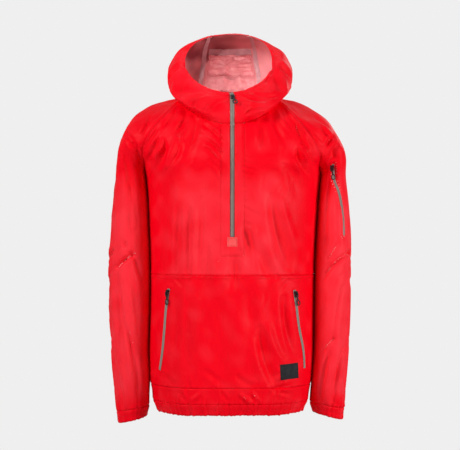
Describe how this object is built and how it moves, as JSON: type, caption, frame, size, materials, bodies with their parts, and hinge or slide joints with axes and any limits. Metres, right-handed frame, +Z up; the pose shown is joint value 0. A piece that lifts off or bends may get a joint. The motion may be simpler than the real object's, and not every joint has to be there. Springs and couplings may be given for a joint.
{
  "type": "anorak pullover",
  "caption": "Hooded half-zip anorak in thin red shell cloth, filled out as if worn: raglan sleeves, pocket panel with slanted zips, arm zip, elastic hem and cuffs.",
  "frame": {"origin": "inside the neck on the garment's centre plane, level with the high point of the shoulders, where the wearer's neck stands", "axes": "+Z up, from the hem to the hood; the front faces -Y; +X is the wearer's left arm"},
  "size_m": [0.546, 0.3024, 0.8882],
  "materials": {
    "red_shell": "thin plain-woven nylon with a satin gloss, pink on the inside",
    "red_patch": "the same cloth, doubled and pressed, a little paler",
    "pink_inside": "matt pink coated inside of the shell cloth",
    "seam_tape": "thin translucent grey-pink seam tape",
    "zip_tape": "grey-olive reverse coil zip tape",
    "black_metal": "gloss black enamel",
    "black_label": "black woven label, bare"
  },
  "bodies": {
    "garment": {"front_upper": "red_shell", "front_pocket_panel": "red_shell", "back": "red_shell", "hem_band": "red_shell", "hem_casing": "red_shell", "sleeve_right": "red_shell", "sleeve_left": "red_shell", "cuff_right": "red_shell", "cuff_left": "red_shell", "hood_side_left": "red_shell", "hood_side_right": "red_shell", "hood_centre": "red_shell", "zip_garage": "red_patch", "hem_label": "black_label", "zip_front": "zip_tape", "zip_pocket_right": "zip_tape", "zip_pocket_left": "zip_tape", "zip_arm": "zip_tape", "hood_tape_left": "seam_tape", "hood_tape_right": "seam_tape", "hood_tape_top": "seam_tape", "hood_gathered_panel": "pink_inside", "hood_neck_facing": "pink_inside", "slider_front": "black_metal", "slider_pocket_right": "black_metal", "slider_pocket_left": "black_metal", "slider_arm": "black_metal"},
    "pull_front": {"pull_front": "black_metal"},
    "pull_pocket_right": {"pull_pocket_right": "black_metal"},
    "pull_pocket_left": {"pull_pocket_left": "black_metal"},
    "pull_arm": {"pull_arm": "black_metal"}
  },
  "joints": [
    {"name": "pull_front_hinge", "type": "hinge", "parent": "garment", "child": "pull_front", "pos_m": [0.00515, -0.11449, -0.00048], "axis": [-0.9567, -0.2073, -0.2043], "range_deg": [0, 150]},
    {"name": "pull_pocket_right_hinge", "type": "hinge", "parent": "garment", "child": "pull_pocket_right", "pos_m": [-0.13957, -0.10988, -0.43198], "axis": [-0.7093, 0.7029, -0.0523], "range_deg": [0, 150]},
    {"name": "pull_pocket_left_hinge", "type": "hinge", "parent": "garment", "child": "pull_pocket_left", "pos_m": [0.14696, -0.11056, -0.43506], "axis": [-0.7035, -0.6682, -0.2419], "range_deg": [0, 150]},
    {"name": "pull_arm_hinge", "type": "hinge", "parent": "garment", "child": "pull_arm", "pos_m": [0.22554, -0.07221, -0.15729], "axis": [-0.7954, 0.5628, -0.225], "range_deg": [0, 150]}
  ]
}
